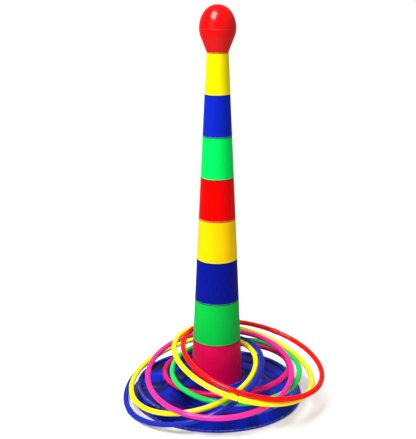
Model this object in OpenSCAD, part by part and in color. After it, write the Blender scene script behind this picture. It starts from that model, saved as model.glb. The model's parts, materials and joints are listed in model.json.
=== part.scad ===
// Ring toss set: a round moulded base, a pole of eight stacked tapered cups under an
// egg-shaped knob, and seven hollow tube rings that lie over the pole.
// +Z is up, and the origin is the middle of the ring-shaped face that the base stands on.

/* [Base] */
// Outer radius of the base at its top rim
rim_r = 86.5; // [84:0.5:88]
// Height of the base's top rim
rim_h = 13.5; // [12.5:0.1:14.5]
// Outer radius of the skirt where it meets its foot
skirt_r = 91; // [90:0.5:94]
// Thickness of the base's moulded wall
base_wall = 2; // [1.6:0.1:2.4]
// Radius of the raised crown's top edge
crown_r = 50; // [46:0.5:52]
// Height of the crown
crown_h = 18.5; // [17.5:0.1:19]
// Height of the collar round the lowest cup
collar_h = 21.2; // [20.8:0.1:22.5]

/* [Pole] */
// Outer radius of the lowest cup at its rim
pole_foot_r = 27.8; // [27:0.1:28]
// Outer radius of the highest cup at its shoulder
pole_head_r = 11; // [10.5:0.1:12]
// Height at which the lowest cup's rim stands in the base
pole_foot_z = 19.3; // [18.8:0.1:19.6]
// Height of the lowest cup, from its rim to its shoulder
cup_h = 46; // [44:0.1:48]
// How much shorter each cup is than the one below it
cup_h_step = 0.6; // [0.4:0.1:0.8]
// Thickness of a cup's wall
cup_wall = 1.2; // [1:0.1:1.4]
// Height of the spigot on top of each cup
spigot_h = 8; // [6:0.5:10]
// Gap round a spigot inside the cup that stands on it
spigot_gap = 0.15; // [0.1:0.05:0.3]

/* [Knob] */
// Largest radius of the egg
egg_r = 18.5; // [17.5:0.1:19]
// Height of the egg's widest place above its foot
egg_mid_h = 23.2; // [22:0.1:25]
// Height of the whole egg
egg_h = 46.3; // [44:0.1:48]

/* [Rings] */
// Radius of a small ring, to the middle of its tube
ring_small = 68.5; // [67:0.5:69]
// Radius of a large ring, to the middle of its tube
ring_large = 76; // [75:0.5:76.5]
// Outer radius of a ring's tube
tube_r = 2.75; // [2.4:0.05:2.8]
// Inner radius of a ring's tube
tube_bore_r = 1.85; // [1.6:0.05:1.95]

/* [Hidden] */
$fn = 96;

// The tube ends stand this far apart, measured along the ring
joint_slit = 0.6;
// The plug reaches this far into each end of the tube
plug_reach = 11;
// Gap between the plug and the tube's bore
plug_gap = 0.05;
// One end of the tube is belled over this length, and this much fatter
bell_len = 9;
bell_step = 0.3;

SMALL = 0;
LARGE = 1;
// How each ring lies, from the lowest up:
// [small or large, centre x, y, z, tilt, heading of the highest point, heading of the joint]
LIE_HOT_PINK = [SMALL, 11, 13, 23, 3.5, 342, 100];
LIE_GREEN = [SMALL, 20.5, -11.5, 32.5, 5, 85, 120];
LIE_BLUE = [LARGE, -25, -22.5, 28, 19, 29, 200];
LIE_YELLOW_LEFT = [SMALL, -25, -22, 32.5, 16, 31, 25];
LIE_PINK = [LARGE, 3, -30, 38.5, 12, 79, 175];
LIE_YELLOW_RIGHT = [LARGE, 28.5, -21, 45, 15.5, 161, 265];
LIE_RED = [LARGE, 38.5, -18, 49, 14, 155, 65];

CUPS = 8;
cup_color = ["deeppink", "lime", "mediumblue", "gold", "red", "springgreen", "royalblue", "yellow"];

// Height of the joint under cup k: cups get shorter by the same step
function joint_z(k) = pole_foot_z + (k - 1) * cup_h - cup_h_step * (k - 1) * (k - 2) / 2;
pole_top_z = joint_z(CUPS + 1);
// Outer radius of the pole at a height: one straight taper from foot to head
pole_slope = (pole_foot_r - pole_head_r) / (pole_top_z - pole_foot_z);
function pole_r(z) = pole_foot_r - pole_slope * (z - pole_foot_z);

// ---- Base ------------------------------------------------------------------

// The flat annulus lies this far below the rim's top
annulus_drop = 2.2;
annulus_h = rim_h - annulus_drop;
rim_bead_r = 2.2;
groove_r = 0.7;
// The groove's middle stands this far above the annulus and this far in from the rim's bead
groove_rise = 0.2;
groove_gap = 0.5;
foot_bead_r = 1.5;
// The foot's bead is let into the skirt by this much
foot_bead_in = 0.2;
foot_web = 2;
crown_foot_r = 61;
crown_round = 4;
// The crown's side runs into its rounded edge this far out and this far down from the top
crown_side_out = 1.5;
crown_side_drop = crown_round * 0.6;
crown_under_in = 2;
collar_t = 2.4;
collar_gap = 0.5;
collar_in_r = pole_foot_r + collar_gap;
collar_out_r = collar_in_r + collar_t;
collar_round = 0.9;
skirt_lean = 0.6;
skirt_top_r = rim_r - skirt_lean;

// Outside of the base, from the collar's inside down to the foot
module base_outside() {
    difference() {
        union() {
            polygon([
                [0, 0], [skirt_r, 0], [skirt_top_r, annulus_h],
                [crown_foot_r, annulus_h], [crown_r + crown_side_out, crown_h - crown_side_drop],
                [crown_r - crown_round, crown_h], [0, crown_h]
            ]);
            translate([crown_r - crown_round, crown_h - crown_round]) circle(crown_round);
            translate([rim_r - rim_bead_r, rim_h - rim_bead_r]) circle(rim_bead_r);
            translate([skirt_r - foot_bead_in, foot_bead_r]) circle(foot_bead_r);
            translate([skirt_r - foot_web, 0]) square([foot_web - foot_bead_in, foot_bead_r]);
            translate([collar_in_r, 0]) square([collar_t, collar_h - collar_round]);
            translate([collar_in_r + collar_round, 0]) square([collar_t - 2 * collar_round, collar_h]);
            for (r = [collar_in_r + collar_round, collar_out_r - collar_round])
                translate([r, collar_h - collar_round]) circle(collar_round);
        }
        translate([rim_r - 2 * rim_bead_r - groove_gap, annulus_h + groove_rise]) circle(groove_r);
        translate([0, pole_foot_z]) square([collar_in_r, crown_h]);
    }
}

// Hollow under the base, one wall thickness inside the outside. It runs on up into the spigot.
module base_hollow() {
    floor_z = pole_foot_z - base_wall;
    roof_z = annulus_h - base_wall;
    below = 1;
    polygon([
        [0, -below], [skirt_r - base_wall, -below], [skirt_r - base_wall, 0],
        [skirt_top_r - base_wall, roof_z], [crown_foot_r - 1, roof_z],
        [crown_r + crown_side_out - crown_under_in, crown_h - crown_side_drop - base_wall],
        [crown_r - crown_round - crown_under_in, crown_h - base_wall],
        [collar_out_r + 1, crown_h - base_wall], [collar_out_r, floor_z],
        [spigot_r(pole_foot_z) - base_wall, floor_z],
        [spigot_r(pole_foot_z) - base_wall, pole_foot_z + 1], [0, pole_foot_z + 1]
    ]);
}

module base() {
    color("navy") rotate_extrude() {
        difference() {
            base_outside();
            base_hollow();
        }
        spigot_outline(pole_foot_z, base_wall, base_wall);
    }
}

// ---- Pole ------------------------------------------------------------------

// Outer radius of a spigot at a height, inside the cup that stands on it
function spigot_r(z) = pole_r(z) - cup_wall - spigot_gap;

// Half outline of the hollow spigot that stands on a shoulder at height z.
// Its wall runs down to the inside of the part below, and drop is that part's thickness.
module spigot_outline(z, wall, drop) {
    top = z + spigot_h;
    chamfer = 0.8;
    out_r = spigot_r(z);
    top_r = spigot_r(top);
    polygon([
        [out_r - wall, z - drop], [out_r, z - drop], [out_r, z],
        [top_r, top - chamfer], [top_r - chamfer, top], [0, top],
        [0, top - wall], [top_r - wall, top - wall]
    ]);
}

// Cup k: a tapered wall, a flat shoulder and a spigot, open below
module cup(k) {
    z = joint_z(k);
    top = joint_z(k + 1);
    edge = 0.45;
    shoulder_in = spigot_r(top) - cup_wall;
    color(cup_color[k - 1]) rotate_extrude() {
        polygon([
            [pole_r(z) - cup_wall, z], [pole_r(z) - edge, z], [pole_r(z), z + edge],
            [pole_r(top), top - edge], [pole_r(top) - edge, top],
            [shoulder_in, top], [shoulder_in, top - cup_wall],
            [pole_r(top) - cup_wall, top - cup_wall]
        ]);
        spigot_outline(top, cup_wall, cup_wall);
    }
}

// ---- Knob ------------------------------------------------------------------

knob_wall = 1.2;
// Radius and sweep of the arc below the egg's widest place, and radius of the arc above it
knob_side_r = 21.8;
knob_side_angle = 21.8;
knob_shoulder_r = 28.8;
arc_steps = 10;
// The lap inside the parting line: its height, thickness and gap, and the height of its land
lap_h = 3;
lap_t = 0.9;
lap_gap = 0.35;
land_h = 1.2;
// Depth of the socket for the highest cup's spigot, and thickness of the sleeve round it
socket_h = 9;
sleeve_t = 1;

// The top of the egg is a cap that the shoulder's arc runs into without a corner
knob_reach = knob_shoulder_r - egg_r;
knob_top_h = egg_h - egg_mid_h;
knob_cap_r = (knob_shoulder_r ^ 2 - knob_reach ^ 2 - knob_top_h ^ 2)
    / (2 * (knob_shoulder_r - knob_top_h));
knob_cap_z = egg_h - knob_cap_r;
knob_cap_angle = atan2(knob_cap_z - egg_mid_h, knob_reach);

// Half outline of the egg's upper half, inset all round. A ray from the cap's centre parts
// the shoulder's arc from the cap's.
module egg_upper(inset) {
    reach = 2 * egg_r;
    ray = [reach * cos(knob_cap_angle), knob_cap_z + reach * sin(knob_cap_angle)];
    intersection() {
        translate([-knob_reach, egg_mid_h]) circle(knob_shoulder_r - inset);
        polygon([[0, egg_mid_h], [reach, egg_mid_h], ray, [0, knob_cap_z]]);
    }
    intersection() {
        translate([0, knob_cap_z]) circle(knob_cap_r - inset);
        polygon([[0, knob_cap_z], ray, [0, knob_cap_z + 2 * reach]]);
    }
}

// The egg's side below its widest place, inset all round: an arc that runs into a cone
function egg_side(inset, angle) = [
    egg_r - knob_side_r + (knob_side_r - inset) * cos(angle),
    egg_mid_h - (knob_side_r - inset) * sin(angle)
];

// A sleeve inside the foot holds the highest cup's spigot
module knob_lower_shell() {
    arc = [for (i = [0:arc_steps]) knob_side_angle * i / arc_steps];
    socket_r = pole_head_r - cup_wall;
    sleeve_r = socket_r + sleeve_t;
    cone_end = egg_side(knob_wall, knob_side_angle);
    cone_foot_r = pole_head_r - knob_wall;
    crotch_z = cone_end[1] * (sleeve_r - cone_foot_r) / (cone_end[0] - cone_foot_r);
    color("red") translate([0, 0, pole_top_z]) rotate_extrude() polygon(concat(
        [for (a = arc) egg_side(0, a)],
        [[pole_head_r, 0], [socket_r, 0], [socket_r, socket_h], [sleeve_r, socket_h]],
        [[sleeve_r, crotch_z]],
        [for (i = [arc_steps:-1:0]) egg_side(knob_wall, arc[i])]
    ));
}

// The upper shell's lap drops inside the lower shell, and a land joins it to the wall
module knob_upper_shell() {
    lap_r = egg_r - knob_wall - lap_gap - lap_t;
    color("red") translate([0, 0, pole_top_z]) rotate_extrude() {
        difference() {
            egg_upper(0);
            egg_upper(knob_wall);
        }
        translate([lap_r, egg_mid_h - lap_h]) square([lap_t, lap_h + land_h]);
        translate([lap_r, egg_mid_h]) square([egg_r - lap_r - knob_wall / 2, land_h]);
    }
}

// ---- Rings -----------------------------------------------------------------

function ring_r(ring) = ring[0] == LARGE ? ring_large : ring_small;
// Angle that a length takes up along a ring
function along(ring, length) = length / ring_r(ring) * 180 / PI;

// Carries its children from a flat ring at the origin to where the ring lies
module lay(ring) {
    tilt = ring[4];
    heading = ring[5];
    joint = ring[6];
    translate([ring[1], ring[2], ring[3]])
        rotate([0, 0, heading]) rotate([0, -tilt, 0]) rotate([0, 0, joint - heading])
            children();
}

// A stretch of tube round the ring, from one angle over a sweep
module tube(ring, from, sweep, out_r, in_r) {
    rotate([0, 0, from]) rotate_extrude(angle = sweep) translate([ring_r(ring), 0]) difference() {
        circle(out_r);
        if (in_r > 0) circle(in_r);
    }
}

module ring_tube(ring, paint) {
    slit = along(ring, joint_slit);
    bell = along(ring, bell_len);
    color(paint) lay(ring) {
        tube(ring, slit / 2, 360 - slit, tube_r, tube_bore_r);
        tube(ring, slit / 2, bell, tube_r + bell_step, tube_bore_r);
    }
}

module ring_plug(ring, paint) {
    reach = along(ring, plug_reach);
    color(paint) lay(ring) tube(ring, -reach, 2 * reach, tube_bore_r - plug_gap, 0);
}

base();
cup(1);  // cup_1_magenta
cup(2);  // cup_2_green
cup(3);  // cup_3_blue
cup(4);  // cup_4_yellow
cup(5);  // cup_5_red
cup(6);  // cup_6_green
cup(7);  // cup_7_blue
cup(8);  // cup_8_yellow
knob_lower_shell();
knob_upper_shell();
ring_tube(LIE_HOT_PINK, "deeppink");  // ring_hot_pink
ring_plug(LIE_HOT_PINK, "deeppink");  // ring_hot_pink_plug
ring_tube(LIE_GREEN, "mediumseagreen");  // ring_green
ring_plug(LIE_GREEN, "mediumseagreen");  // ring_green_plug
ring_tube(LIE_BLUE, "royalblue");  // ring_blue
ring_plug(LIE_BLUE, "royalblue");  // ring_blue_plug
ring_tube(LIE_YELLOW_LEFT, "yellow");  // ring_yellow_left
ring_plug(LIE_YELLOW_LEFT, "yellow");  // ring_yellow_left_plug
ring_tube(LIE_PINK, "hotpink");  // ring_pink
ring_plug(LIE_PINK, "hotpink");  // ring_pink_plug
ring_tube(LIE_YELLOW_RIGHT, "yellow");  // ring_yellow_right
ring_plug(LIE_YELLOW_RIGHT, "yellow");  // ring_yellow_right_plug
ring_tube(LIE_RED, "red");  // ring_red
ring_plug(LIE_RED, "red");  // ring_red_plug
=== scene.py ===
"""Ring toss set: a moulded base, a pole of eight stacked cups under an egg-shaped knob, and seven tube rings.

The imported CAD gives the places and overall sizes. Each moulding is turned or swept here with its edge radii.
"""
import json
import math

import bmesh
import bpy
import numpy as np
from mathutils import Matrix, Vector


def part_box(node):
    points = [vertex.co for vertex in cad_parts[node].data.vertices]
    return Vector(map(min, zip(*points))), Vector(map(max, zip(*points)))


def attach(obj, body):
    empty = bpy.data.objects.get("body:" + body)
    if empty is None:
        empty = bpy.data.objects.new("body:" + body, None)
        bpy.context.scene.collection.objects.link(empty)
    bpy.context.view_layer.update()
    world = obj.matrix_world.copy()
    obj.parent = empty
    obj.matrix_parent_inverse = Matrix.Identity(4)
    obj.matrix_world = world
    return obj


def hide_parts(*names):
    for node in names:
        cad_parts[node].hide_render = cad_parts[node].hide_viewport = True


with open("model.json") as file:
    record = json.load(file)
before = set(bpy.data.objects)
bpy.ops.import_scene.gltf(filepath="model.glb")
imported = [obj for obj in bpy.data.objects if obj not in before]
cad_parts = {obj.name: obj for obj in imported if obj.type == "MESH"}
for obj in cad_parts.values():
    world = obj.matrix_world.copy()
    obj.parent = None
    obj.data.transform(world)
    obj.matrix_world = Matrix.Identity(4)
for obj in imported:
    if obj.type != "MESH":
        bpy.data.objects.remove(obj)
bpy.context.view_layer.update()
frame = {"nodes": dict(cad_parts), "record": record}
MM = 0.001

# ---- Names that the record gives --------------------------------------------

record = frame["record"]
SLOT_OF = {s["node"]: s["material_slot"] for s in record["subparts"]}
BODY_OF = {n: b for b, members in record["behaviour"]["bodies"].items() for n in members}
CUPS = sorted(n for n in SLOT_OF if n.startswith("cup_"))
RINGS = [n for n in SLOT_OF if n.startswith("ring_") and not n.endswith("_plug")]

# ---- Camera -------------------------------------------------------------------

# Metres in front of the pole's axis and above the floor, and degrees down and to the left
CAMERA_DISTANCE = 0.935
CAMERA_HEIGHT = 0.462
CAMERA_PITCH = 15.8
CAMERA_YAW = 0.585
# Millimetres
SENSOR = 36.0
LENS = 76.3
CLIP_END = 50


def add_camera():
    data = bpy.data.cameras.new("camera")
    data.sensor_width = SENSOR
    data.lens = LENS
    data.clip_end = CLIP_END
    camera = bpy.data.objects.new("camera", data)
    camera.location = (0, -CAMERA_DISTANCE, CAMERA_HEIGHT)
    camera.rotation_euler = (math.radians(90 - CAMERA_PITCH), 0, math.radians(CAMERA_YAW))
    bpy.context.scene.collection.objects.link(camera)
    bpy.context.scene.camera = camera


# ---- Light and floor ------------------------------------------------------------

WHITE = (1, 1, 1, 1)
FLOOR_RADIUS = 0.45
FLOOR_SEGMENTS = 96
PAPER = (0.98, 0.98, 0.98, 1)


def add_area_light(name, place, target, size, power, glossy=False):
    """A rectangular lamp. Only a glossy one is mirrored in the plastic."""
    data = bpy.data.lights.new(name, "AREA")
    data.shape = "RECTANGLE"
    data.size, data.size_y = size
    data.energy = power
    light = bpy.data.objects.new(name, data)
    light.location = place
    aim = Vector(target) - Vector(place)
    light.rotation_euler = aim.to_track_quat("-Z", "Y").to_euler()
    light.visible_camera = False
    light.visible_glossy = glossy
    bpy.context.scene.collection.objects.link(light)


def add_world(seen, lit, mirrored):
    """White where the camera sees it, a dimmer white all round as light, and dimmer again in gloss."""
    world = bpy.data.worlds.new("studio")
    world.use_nodes = True
    tree = world.node_tree
    path = tree.nodes.new("ShaderNodeLightPath")
    unseen = tree.nodes.new("ShaderNodeMapRange")
    unseen.inputs["To Min"].default_value = lit
    unseen.inputs["To Max"].default_value = mirrored
    tree.links.new(path.outputs["Is Glossy Ray"], unseen.inputs["Value"])
    strength = tree.nodes.new("ShaderNodeMapRange")
    strength.inputs["To Max"].default_value = seen
    tree.links.new(unseen.outputs["Result"], strength.inputs["To Min"])
    tree.links.new(path.outputs["Is Camera Ray"], strength.inputs["Value"])
    background = tree.nodes["Background"]
    background.inputs["Color"].default_value = WHITE
    tree.links.new(strength.outputs["Result"], background.inputs["Strength"])
    bpy.context.scene.world = world


def add_floor():
    """A round white table top, lit so that it runs out into the white all round it."""
    turns = [2 * math.pi * i / FLOOR_SEGMENTS for i in range(FLOOR_SEGMENTS)]
    rim = [(FLOOR_RADIUS * math.cos(a), FLOOR_RADIUS * math.sin(a), 0) for a in turns]
    mesh = bpy.data.meshes.new("floor")
    mesh.from_pydata(rim, [], [range(FLOOR_SEGMENTS)])
    floor = bpy.data.objects.new("floor", mesh)
    bpy.context.scene.collection.objects.link(floor)
    mat = bpy.data.materials.new("floor_paper")
    mat.use_nodes = True
    shader = mat.node_tree.nodes["Principled BSDF"]
    shader.inputs["Base Color"].default_value = PAPER
    shader.inputs["Roughness"].default_value = 0.7
    shader.inputs["Specular IOR Level"].default_value = 0.1
    mesh.materials.append(mat)
    floor.visible_glossy = False


# ---- Node helpers -----------------------------------------------------------------

class Nodes:
    """Adds and links shader nodes in one material."""

    def __init__(self, name):
        self.mat = bpy.data.materials.new(name)
        self.mat.use_nodes = True
        self.tree = self.mat.node_tree
        self.shader = self.tree.nodes["Principled BSDF"]

    def add(self, kind, inputs=(), **settings):
        """A new node with its settings made and each input linked to a socket or set to a value."""
        node = self.tree.nodes.new(kind)
        for key, value in settings.items():
            setattr(node, key, value)
        for key, value in dict(inputs).items():
            if isinstance(value, bpy.types.NodeSocket):
                self.tree.links.new(value, node.inputs[key])
            else:
                node.inputs[key].default_value = value
        return node

    def link(self, out, socket):
        self.tree.links.new(out, self.shader.inputs[socket])

    def noise(self, vector, scale, detail=2.0, roughness=0.5):
        node = self.add("ShaderNodeTexNoise", {"Vector": vector, "Scale": scale, "Detail": detail,
                                               "Roughness": roughness})
        return node.outputs["Fac"]

    def object_place(self):
        return self.add("ShaderNodeTexCoord").outputs["Object"]

    def stretched(self, vector, scale):
        return self.add("ShaderNodeMapping", {"Vector": vector, "Scale": scale}).outputs["Vector"]

    def spread(self, value, low, high, to_low, to_high):
        """The value carried from one range to another, and held at the ends."""
        node = self.add("ShaderNodeMapRange", {"Value": value, "From Min": low, "From Max": high,
                                               "To Min": to_low, "To Max": to_high})
        return node.outputs["Result"]

    def product(self, a, b):
        return self.add("ShaderNodeMath", {0: a, 1: b}, operation="MULTIPLY").outputs["Value"]

    def total(self, a, b):
        return self.add("ShaderNodeMath", {0: a, 1: b}, operation="ADD").outputs["Value"]

    def mix(self, factor, a, b):
        node = self.add("ShaderNodeMix", {"Factor": factor, "A": a, "B": b}, data_type="RGBA")
        return node.outputs["Result"]

    def bump(self, height, strength, distance, normal=None):
        inputs = {"Height": height, "Strength": strength, "Distance": distance}
        if normal is not None:
            inputs["Normal"] = normal
        return self.add("ShaderNodeBump", inputs).outputs["Normal"]

    def attribute(self, name):
        return self.add("ShaderNodeAttribute", attribute_name=name)


def srgb(r, g, b):
    """A shader colour from the 0 to 255 numbers of a colour on screen."""
    def linear(c):
        c /= 255
        return c / 12.92 if c <= 0.04045 else ((c + 0.055) / 1.055) ** 2.4
    return (linear(r), linear(g), linear(b), 1)


def shade(colour, k):
    """The colour at k times its brightness."""
    return tuple(c * k for c in colour[:3]) + (1,)


def tint(colour, white):
    """The colour with a share of white mixed in."""
    return tuple(c + (1 - c) * white for c in colour[:3]) + (1,)


# ---- Materials ----------------------------------------------------------------------

def moulded_plastic(name, colour, gloss=0.3, specular=0.08, unevenness=0.12):
    """Injection-moulded plastic: flow lines down the wall, fine peel and scuffs.

    Edges where the wear value is above 0 are rubbed paler. Joint lines where it is below 0 get painted shade:
    a near-black line for the shade in the crease under the part above.
    """
    n = Nodes(name)
    place = n.object_place()
    flow = n.noise(n.stretched(place, (260, 260, 9)), 1.0, 3.0)
    cloud = n.noise(place, 38.0, 2.0)
    wear_and_painted_shade = n.attribute("wear_and_painted_shade").outputs["Fac"]
    rubbed_edge = n.spread(wear_and_painted_shade, 0.0, 1.0, 0.0, 1.0)
    rubbed_spots = n.spread(n.noise(place, 420.0, 3.0), 0.35, 0.65, 0.25, 0.9)
    rub = n.product(rubbed_edge, rubbed_spots)
    # Painted shade: a value below 0 marks the joint under the part above, which is darkened as if shaded
    painted_joint_shade = n.spread(wear_and_painted_shade, 0.0, -1.0, 0.0, 0.75)

    body = n.mix(n.spread(cloud, 0.3, 0.7, 0.0, 1.0), shade(colour, 0.93), colour)
    body = n.mix(n.spread(flow, 0.35, 0.75, 0.0, 0.35), body, shade(colour, 1.04))
    # The painted shade in the joint, near black
    body = n.mix(painted_joint_shade, body, shade(colour, 0.12))
    n.link(n.mix(rub, body, tint(colour, 0.25)), "Base Color")

    scratch = n.noise(n.stretched(place, (900, 900, 60)), 1.0, 4.0, 0.7)
    scuffs = n.spread(scratch, 0.35, 0.75, gloss - 0.05, gloss + 0.12)
    n.link(n.total(scuffs, n.product(rub, 0.25)), "Roughness")

    peel = n.bump(n.noise(place, 900.0, 2.0), unevenness, 0.0003)
    n.link(n.bump(flow, unevenness, 0.0006, peel), "Normal")
    n.shader.inputs["Specular IOR Level"].default_value = specular
    return n.mat


def tube_plastic(name, colour, gloss=0.14, specular=0.5):
    """Soft extruded tube: streaks that run along it, slow swells round it, and rubbed patches."""
    n = Nodes(name)
    place = n.object_place()
    lie = n.attribute("tube_lie").outputs["Vector"]
    streak = n.noise(n.stretched(lie, (5.0, 5.0, 5.0)), 1.0, 3.0, 0.6)
    swell = n.noise(place, 70.0, 1.0)
    rub = n.spread(n.noise(place, 130.0, 4.0, 0.65), 0.56, 0.72, 0.0, 0.35)

    body = n.mix(n.spread(swell, 0.3, 0.7, 0.0, 1.0), shade(colour, 0.9), colour)
    body = n.mix(n.spread(streak, 0.4, 0.8, 0.0, 0.3), body, tint(colour, 0.03))
    n.link(n.mix(rub, body, tint(shade(colour, 0.95), 0.03)), "Base Color")

    drawn = n.spread(streak, 0.3, 0.8, gloss - 0.04, gloss + 0.1)
    n.link(n.total(drawn, n.product(rub, 0.3)), "Roughness")

    wave = n.bump(swell, 0.25, 0.0008)
    n.link(n.bump(streak, 0.15, 0.0003, wave), "Normal")
    n.shader.inputs["Specular IOR Level"].default_value = specular
    return n.mat


def base_plastic(name, colour, deep):
    """Very glossy plastic: its blue runs in streaks from deep to bright, and it ripples a little. The bright
    streaks are painted reflection.
    """
    n = Nodes(name)
    place = n.object_place()
    ripple = n.noise(n.stretched(place, (16, 30, 16)), 1.0, 1.0)
    cloud = n.noise(n.stretched(place, (14, 34, 14)), 1.0, 3.0)
    wear_and_painted_shade = n.attribute("wear_and_painted_shade").outputs["Fac"]
    rub = n.product(wear_and_painted_shade, n.spread(n.noise(place, 300.0, 3.0), 0.4, 0.65, 0.1, 0.7))

    # Painted reflection: bright blue streaks over the deep blue, which is nearer the plastic's own colour
    body = n.mix(n.spread(cloud, 0.4, 0.6, 0.0, 1.0), deep, colour)
    n.link(n.mix(rub, body, tint(colour, 0.15)), "Base Color")

    scratch = n.noise(n.stretched(place, (500, 500, 500)), 1.0, 4.0, 0.7)
    scuffs = n.spread(scratch, 0.4, 0.75, 0.06, 0.16)
    n.link(n.total(scuffs, n.product(rub, 0.2)), "Roughness")

    wave = n.bump(ripple, 0.2, 0.004)
    n.link(n.bump(n.noise(place, 800.0, 2.0), 0.06, 0.0004, wave), "Normal")
    n.shader.inputs["Specular IOR Level"].default_value = 0.5
    n.shader.inputs["Specular Tint"].default_value = (0.3, 0.4, 1.0, 1)
    return n.mat


COLOURS = {
    # The base's navy is the bright end of its streaks: painted reflection
    "navy_plastic": srgb(18, 42, 202),
    "magenta_plastic": srgb(216, 0, 78),
    "green_plastic": srgb(0, 192, 66),
    "blue_plastic": srgb(2, 18, 140),
    "amber_yellow_plastic": srgb(255, 208, 0),
    "red_plastic": srgb(240, 0, 0),
    "light_green_plastic": srgb(0, 238, 92),
    "royal_blue_plastic": srgb(11, 37, 188),
    "yellow_plastic": srgb(255, 240, 0),
    "hot_pink_tube": srgb(255, 0, 110),
    "green_tube": srgb(10, 220, 90),
    "blue_tube": srgb(14, 34, 172),
    "yellow_tube": srgb(255, 246, 0),
    "pink_tube": srgb(255, 40, 150),
    "red_tube": srgb(250, 0, 0),
}


# The deep blue between the base's painted-reflection streaks
BASE_DEEP = srgb(8, 14, 96)
# The knob has the red cup's colour and a polished mould's finish
KNOB_FINISH = {"gloss": 0.17, "specular": 0.55, "unevenness": 0.006}


def make_materials():
    made = {}
    for slot, colour in COLOURS.items():
        if slot == "navy_plastic":
            made[slot] = base_plastic(slot, colour, BASE_DEEP)
        elif slot.endswith("_tube"):
            made[slot] = tube_plastic(slot, colour)
        else:
            made[slot] = moulded_plastic(slot, colour)
    return made


# ---- Turned mouldings ------------------------------------------------------------------

def rounded(corners, steps=4, hold=0.5):
    """An outline from (r, z, radius, wear) corners, in millimetres, as (r, z, wear) points. A wear value above
    0 means rubbing, and one below 0 means painted shade in a joint.

    Each corner with a radius becomes an arc. A point either side of it keeps smooth shading to the arc.
    """
    out = []
    count = len(corners)
    for i, (r, z, radius, wear_and_painted_shade) in enumerate(corners):
        here = Vector((r, z))
        if radius <= 0:
            out.append((r, z, wear_and_painted_shade))
            continue
        back = Vector(corners[i - 1][:2]) - here
        ahead = Vector(corners[(i + 1) % count][:2]) - here
        half = back.angle(ahead) / 2
        reach = radius / math.tan(half)
        a, b = here + back.normalized() * reach, here + ahead.normalized() * reach
        middle = here + (back.normalized() + ahead.normalized()).normalized() * radius / math.sin(half)
        if back.length > reach + 2 * hold:
            p = a + back.normalized() * hold
            out.append((p.x, p.y, 0.0))
        turn = (a - middle).angle_signed(b - middle)
        for k in range(steps + 1):
            v = a - middle
            v.rotate(Matrix.Rotation(-turn * k / steps, 2))
            out.append((middle.x + v.x, middle.y + v.y, wear_and_painted_shade))
        if ahead.length > reach + 2 * hold:
            p = b + ahead.normalized() * hold
            out.append((p.x, p.y, 0.0))
    return out


def turned(name, outline, body, material, segments=192):
    """A solid of revolution from a closed outline of (r, z, wear) points, in millimetres; a wear value below 0
    is painted shade in a joint. Points on the axis become one vertex."""
    mesh = bpy.data.meshes.new(name)
    verts, wear_and_painted_shade, rows = [], [], []
    for r, z, w in outline:
        if r < 1e-4:
            rows.append([len(verts)] * segments)
            verts.append((0, 0, z * MM))
            wear_and_painted_shade.append(w)
            continue
        rows.append(list(range(len(verts), len(verts) + segments)))
        for s in range(segments):
            a = 2 * math.pi * s / segments
            verts.append((r * MM * math.cos(a), r * MM * math.sin(a), z * MM))
            wear_and_painted_shade.append(w)
    faces = []
    for row, after in zip(rows, rows[1:] + rows[:1]):
        if row[0] == row[1] and after[0] == after[1]:
            continue
        for s in range(segments):
            t = (s + 1) % segments
            corners = [row[s], row[t], after[t], after[s]]
            faces.append(tuple(dict.fromkeys(corners)))
    mesh.from_pydata(verts, [], faces)
    mesh.shade_smooth()
    layer = mesh.attributes.new("wear_and_painted_shade", "FLOAT", "POINT")
    layer.data.foreach_set("value", wear_and_painted_shade)
    return finished(name, mesh, body, material)


def finished(name, mesh, body, material):
    mesh.validate()
    mesh.update()
    mesh.materials.append(material)
    obj = bpy.data.objects.new(name, mesh)
    bpy.context.scene.collection.objects.link(obj)
    face_outwards(mesh)
    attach(obj, body)
    return obj


def face_outwards(mesh):
    bm = bmesh.new()
    bm.from_mesh(mesh)
    bmesh.ops.recalc_face_normals(bm, faces=bm.faces)
    bm.to_mesh(mesh)
    bm.free()


# ---- Pole -----------------------------------------------------------------------------

CUP_WALL = 1.2
SPIGOT_GAP = 0.15
EDGE_ROUND = 0.45
SHOULDER_ROUND = 0.8
# The mark that the mould's gate leaves in the middle of a spigot's top
GATE_R = 1.3
GATE_BEVEL = 0.8
GATE_DEPTH = 0.35

low = {n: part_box(n)[0] / MM for n in SLOT_OF}
high = {n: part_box(n)[1] / MM for n in SLOT_OF}
foot_z = low[CUPS[0]].z
foot_r = high[CUPS[0]].x
pole_top_z = low["knob_lower_shell"].z
pole_slope = (foot_r - high[CUPS[-1]].x) / (low[CUPS[-1]].z - foot_z)


def pole_r(z):
    """Outer radius of the pole at a height, in millimetres: one straight taper."""
    return foot_r - pole_slope * (z - foot_z)


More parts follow.
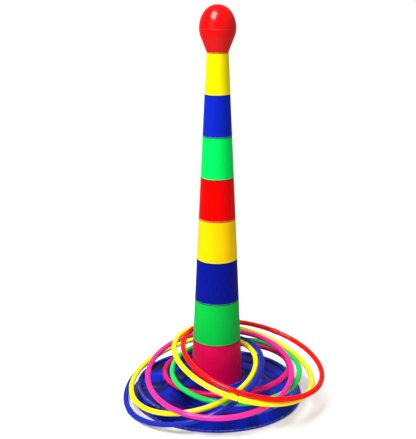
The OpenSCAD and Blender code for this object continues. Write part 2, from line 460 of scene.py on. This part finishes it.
def add_cup(k, material):
    """A tapered wall with a flat shoulder and a hollow spigot, open below."""
    node = CUPS[k]
    z = low[node].z
    shoulder = low[CUPS[k + 1]].z if k + 1 < len(CUPS) else pole_top_z
    top = high[node].z
    spigot_r = pole_r(shoulder) - CUP_WALL - SPIGOT_GAP
    tip_r = pole_r(top) - CUP_WALL - SPIGOT_GAP
    outline = rounded([
        (pole_r(z) - CUP_WALL, z, 0.3, 0.4),
        (pole_r(z), z, EDGE_ROUND, 1.0),
        # Below 0: painted shade in the joint under the cup above
        (pole_r(shoulder), shoulder, SHOULDER_ROUND, -1.0),
        (spigot_r, shoulder, 0.25, 0.0),
        (tip_r, top, 0.8, 0.6),
        (GATE_R + GATE_BEVEL, top, 0, 0.0),
        (GATE_R, top - GATE_DEPTH, 0, 0.0),
        (0, top - 0.3, 0, 0.0),
        (0, top - CUP_WALL, 0, 0.0),
        (tip_r - CUP_WALL, top - CUP_WALL, 0.4, 0.0),
        (spigot_r - CUP_WALL, shoulder - CUP_WALL, 0.3, 0.0),
        (pole_r(shoulder) - CUP_WALL, shoulder - CUP_WALL, 0.5, 0.0),
    ])
    cup = turned(node + "_moulding", outline, BODY_OF[node], material)
    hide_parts(node)


# ---- Knob -----------------------------------------------------------------------------

KNOB_WALL = 1.2
SIDE_R = 21.8
SHOULDER_R = 28.8
SIDE_ANGLE = 21.8
SOCKET_H = 9.0
SLEEVE_WALL = 1.0
# The V along the parting line: its depth, and how far down and in its rounded lip lies
PART_LINE = 0.35
LIP = 0.12
# Angles at which the arcs below and above the parting line stop short of it
LOWER_STOP = -1.6
UPPER_STOP = 0.8
SIDE_STEPS = 12
CAP_STEPS = 18
LAP_H = 3.0
LAP_T = 0.9
LAP_GAP = 0.35
LAND_H = 1.2


def arc(middle_r, middle_z, radius, start, end, steps):
    """Outline corners on an arc, from one angle to another in degrees above the horizontal."""
    out = []
    for i in range(steps + 1):
        a = math.radians(start + (end - start) * i / steps)
        out.append((middle_r + radius * math.cos(a), middle_z + radius * math.sin(a), 0, 0.0))
    return out


def add_knob_lower(material):
    """The egg's foot: an arc that runs into a cone, and a sleeve inside it for the highest cup's spigot."""
    node = "knob_lower_shell"
    egg_r = high[node].x
    mid = high[node].z
    head_r = pole_r(pole_top_z)
    inner_r = head_r - KNOB_WALL
    sleeve_r = inner_r + SLEEVE_WALL
    side_r = SIDE_R - KNOB_WALL
    cone = math.radians(SIDE_ANGLE)
    cone_r, cone_z = egg_r - SIDE_R + side_r * math.cos(cone), mid - side_r * math.sin(cone)
    crotch_z = pole_top_z + (cone_z - pole_top_z) * (sleeve_r - inner_r) / (cone_r - inner_r)
    outline = rounded([
        (inner_r, pole_top_z, 0.25, 0.3),
        (head_r, pole_top_z, EDGE_ROUND, 1.0),
        *arc(egg_r - SIDE_R, mid, SIDE_R, -SIDE_ANGLE, LOWER_STOP, SIDE_STEPS),
        (egg_r - 0.02, mid - PART_LINE, 0, 0.1),
        (egg_r - LIP, mid - LIP, 0, 0.2),
        (egg_r - PART_LINE, mid, 0, 0.0),
        (egg_r - KNOB_WALL, mid, 0, 0.0),
        *arc(egg_r - SIDE_R, mid, side_r, LOWER_STOP, -SIDE_ANGLE, SIDE_STEPS),
        (sleeve_r, crotch_z, 0, 0.0),
        (sleeve_r, pole_top_z + SOCKET_H, 0.3, 0.0),
        (inner_r, pole_top_z + SOCKET_H, 0.3, 0.0),
    ])
    shell = turned("knob_lower_half", outline, BODY_OF[node], material)
    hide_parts(node)


def add_knob_upper(material):
    """The egg's dome: a shoulder arc that a cap runs on from, and a lap that drops inside the lower shell."""
    node = "knob_upper_shell"
    egg_r = high["knob_lower_shell"].x
    mid = high["knob_lower_shell"].z
    reach = SHOULDER_R - egg_r
    rise = high[node].z - mid
    cap_r = (SHOULDER_R ** 2 - reach ** 2 - rise ** 2) / (2 * (SHOULDER_R - rise))
    cap_z = high[node].z - cap_r
    seam = math.degrees(math.atan2(cap_z - mid, reach))
    inner_start = math.degrees(math.asin(LAND_H / (SHOULDER_R - KNOB_WALL)))
    lap_r = egg_r - KNOB_WALL - LAP_GAP
    outline = rounded([
        (lap_r - LAP_T, mid - LAP_H, 0, 0.0),
        (lap_r, mid - LAP_H, 0.25, 0.0),
        (lap_r, mid, 0, 0.0),
        (egg_r - PART_LINE, mid, 0, 0.0),
        (egg_r - LIP, mid + LIP, 0, 0.2),
        *arc(-reach, mid, SHOULDER_R, UPPER_STOP, seam, SIDE_STEPS),
        *arc(0, cap_z, cap_r, seam, 90, CAP_STEPS)[1:],
        *arc(0, cap_z, cap_r - KNOB_WALL, 90, seam, CAP_STEPS),
        *arc(-reach, mid, SHOULDER_R - KNOB_WALL, seam, inner_start, SIDE_STEPS)[1:],
        (lap_r - LAP_T, mid + LAND_H, 0, 0.0),
    ])
    shell = turned("knob_upper_half", outline, BODY_OF[node], material)
    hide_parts(node)


# ---- Base -----------------------------------------------------------------------------

# Millimetres, as in the CAD
BASE_WALL = 2.0
SKIRT_R = 91.0
RIM_R = 86.5
RIM_H = 13.5
RIM_BEAD = 4.0
ANNULUS_H = 11.3
GROOVE_DEPTH = 0.6
CROWN_FOOT_R = 61.0
CROWN_R = 50.0
CROWN_H = 18.5
COLLAR_GAP = 0.5
COLLAR_WALL = 2.4
COLLAR_H = 21.2
FOOT_BEAD_H = 2.7
FOOT_BEAD_OUT = 1.3
BASE_SEGMENTS = 256


def add_base(material):
    """The shell's section, from the spigot's middle over crown and rim, down the skirt and back inside."""
    bead_in = RIM_R - RIM_BEAD
    foot_bead_r = SKIRT_R + FOOT_BEAD_OUT
    collar_in = foot_r + COLLAR_GAP
    collar_out = collar_in + COLLAR_WALL
    floor_z = foot_z - BASE_WALL
    crown_under, annulus_under = CROWN_H - BASE_WALL, ANNULUS_H - BASE_WALL
    spigot_r = foot_r - CUP_WALL - SPIGOT_GAP
    top = high["base"].z
    tip_r = pole_r(top) - CUP_WALL - SPIGOT_GAP
    outline = rounded([
        (0, top, 0, 0.0),
        (tip_r, top, 0.8, 0.4),
        (spigot_r, foot_z, 0.25, 0.0),
        (collar_in, foot_z, 0.25, 0.0),
        (collar_in, COLLAR_H, 0.9, 0.6),
        (collar_out, COLLAR_H, 0.9, 0.8),
        (collar_out, CROWN_H, 0.8, 0.0),
        (CROWN_R - 1.0, CROWN_H, 4.0, 0.5),
        (CROWN_FOOT_R, ANNULUS_H, 3.5, 0.0),
        (bead_in - 1.3, ANNULUS_H, 0.35, 0.0),
        (bead_in - 0.8, ANNULUS_H - GROOVE_DEPTH, 0.2, 0.0),
        (bead_in - 0.2, ANNULUS_H, 0.3, 0.0),
        (bead_in, RIM_H, 1.6, 0.3),
        (RIM_R, RIM_H, 1.9, 1.0),
        (SKIRT_R - 0.55, FOOT_BEAD_H + 0.3, 0.8, 0.0),
        (foot_bead_r, FOOT_BEAD_H, 1.0, 0.9),
        (foot_bead_r, 0.0, 1.0, 0.5),
        (SKIRT_R - BASE_WALL, 0.0, 0.3, 0.0),
        (RIM_R - 0.6 - BASE_WALL, annulus_under, 1.5, 0.0),
        (CROWN_FOOT_R - 1.0, annulus_under, 3.0, 0.0),
        (CROWN_R - 4.5, crown_under, 3.0, 0.0),
        (collar_out + 1.0, crown_under, 0.6, 0.0),
        (collar_out, floor_z, 0.6, 0.0),
        (spigot_r - BASE_WALL, floor_z, 0.5, 0.0),
        (tip_r - BASE_WALL, top - BASE_WALL, 0.8, 0.0),
        (0, top - BASE_WALL, 0, 0.0),
    ])
    base = turned("base_moulding", outline, BODY_OF["base"], material, segments=BASE_SEGMENTS)
    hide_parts("base")


# ---- Rings ----------------------------------------------------------------------------

TUBE_R = 2.75
BORE_R = 1.85
SLIT = 0.6
BELL_LEN = 9.0
BELL_STEP = 0.3
BELL_TAPER = 1.6
END_ROUND = 0.4
# The plain tube's first and last rows stand this far in from the bell and from the rounded end
END_HOLD = 0.5
END_STEPS = 3
BELL_STEPS = 5
TAPER_STEPS = 8
TUBE_STEPS = 300
TUBE_SIDES = 32
BORE_STEPS = 96
# Length of tube, in metres, that the streaks' pattern takes for one unit
STREAK_LEN = 0.03


def ring_lie(node):
    """A ring's radius, and the matrix that carries a flat ring to its place, both from its own vertices.

    The flat ring lies at the origin with its joint on +X.
    """
    points = np.array([v.co for v in frame["nodes"][node].data.vertices])
    normal = np.linalg.svd(points - points.mean(0), full_matrices=False)[2][2]
    normal *= math.copysign(1.0, normal[2])
    flat = points - points.mean(0)
    terms = np.column_stack([2 * flat, np.ones(len(flat))])
    middle = np.linalg.lstsq(terms, (flat ** 2).sum(1), rcond=None)[0][:3]
    middle = points.mean(0) + middle - normal * middle.dot(normal)
    reach = points - middle
    reach = np.linalg.norm(reach - np.outer(reach @ normal, normal), axis=1)
    radius = (reach.min() + reach.max()) / 2
    z = Vector(normal)
    joint = sum((v.co for v in frame["nodes"][node + "_plug"].data.vertices), Vector())
    joint = joint / len(frame["nodes"][node + "_plug"].data.vertices) - Vector(middle)
    x = (joint - z * joint.dot(z)).normalized()
    y = z.cross(x)
    place = Matrix((x, y, z)).transposed().to_4x4()
    place.translation = Vector(middle)
    return radius, place


def tube_stations(radius):
    """(angle, outer radius) along a ring, in radians and millimetres. One end is belled, both are rounded."""
    length = 2 * math.pi * radius / MM
    first, last = SLIT / 2, length - SLIT / 2
    bell_r = TUBE_R + BELL_STEP
    quarter = [math.pi / 2 * i / END_STEPS for i in range(END_STEPS + 1)]
    out = [(first + END_ROUND * (1 - math.cos(a)), bell_r - END_ROUND * (1 - math.sin(a))) for a in quarter]
    for i in range(1, BELL_STEPS + 1):
        out.append((first + END_ROUND + (BELL_LEN - BELL_TAPER - END_ROUND) * i / BELL_STEPS, bell_r))
    for i in range(1, TAPER_STEPS + 1):
        ease = (1 - math.cos(math.pi * i / TAPER_STEPS)) / 2
        out.append((first + BELL_LEN - BELL_TAPER * (1 - i / TAPER_STEPS), TUBE_R + BELL_STEP * (1 - ease)))
    start, stop = first + BELL_LEN + END_HOLD, last - END_ROUND - END_HOLD
    for i in range(TUBE_STEPS + 1):
        out.append((start + (stop - start) * i / TUBE_STEPS, TUBE_R))
    out += [(last - END_ROUND * (1 - math.sin(a)), TUBE_R - END_ROUND * (1 - math.cos(a))) for a in quarter]
    return [(s * MM / radius, r) for s, r in out]


def add_ring(node, material):
    """A hollow tube bent round until its ends nearly meet; the CAD plug joins them inside."""
    radius, place = ring_lie(node)
    stations = tube_stations(radius)
    mesh = bpy.data.meshes.new(node + "_tube")
    verts, lie, faces = [], [], []

    def add_row(angle, tube_r):
        row = list(range(len(verts), len(verts) + TUBE_SIDES))
        out = Vector((math.cos(angle), math.sin(angle), 0))
        for k in range(TUBE_SIDES):
            a = 2 * math.pi * k / TUBE_SIDES
            reach = radius + tube_r * MM * math.cos(a)
            verts.append(place @ Vector((out.x * reach, out.y * reach, tube_r * MM * math.sin(a))))
            lie.append((math.cos(a), math.sin(a), angle * radius / STREAK_LEN))
        return row

    rows = [add_row(angle, tube_r) for angle, tube_r in stations]
    first, last = stations[0][0], stations[-1][0]
    bore = [last - (last - first) * i / BORE_STEPS for i in range(BORE_STEPS + 1)]
    rows += [add_row(angle, BORE_R) for angle in bore]
    for row, after in zip(rows, rows[1:] + rows[:1]):
        for k in range(TUBE_SIDES):
            t = (k + 1) % TUBE_SIDES
            faces.append((row[k], row[t], after[t], after[k]))
    mesh.from_pydata(verts, [], faces)
    mesh.shade_smooth()
    layer = mesh.attributes.new("tube_lie", "FLOAT_VECTOR", "POINT")
    layer.data.foreach_set("vector", [c for v in lie for c in v])
    tube = finished(node + "_tube", mesh, BODY_OF[node], material)
    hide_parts(node)


# ---- Build ----------------------------------------------------------------------------

bpy.context.scene.view_settings.view_transform = "Standard"
add_camera()
add_world(seen=1.0, lit=0.34, mirrored=0.16)
add_floor()
add_area_light("softbox", (-0.52, -0.7, 1.5), (0, 0, 0.25), (0.75, 0.75), 21, glossy=True)
add_area_light("overhead", (-0.3, 0.1, 1.7), (0, 0, 0.2), (0.8, 0.8), 16)
add_area_light("key", (-1.4, -1.4, 0.8), (0, 0, 0.2), (0.8, 0.8), 16)
add_area_light("back", (0.1, 2.0, 0.95), (0, 0, 0.1), (1.6, 0.9), 6)

materials = make_materials()
add_base(materials["navy_plastic"])
for k in range(len(CUPS)):
    add_cup(k, materials[SLOT_OF[CUPS[k]]])
polished_red = moulded_plastic("red_plastic_polished", COLOURS["red_plastic"], **KNOB_FINISH)
add_knob_lower(polished_red)
add_knob_upper(polished_red)
for node in RINGS:
    add_ring(node, materials[SLOT_OF[node]])
    plug = frame["nodes"][node + "_plug"].data
    plug.materials.clear()
    plug.materials.append(materials[SLOT_OF[node]])
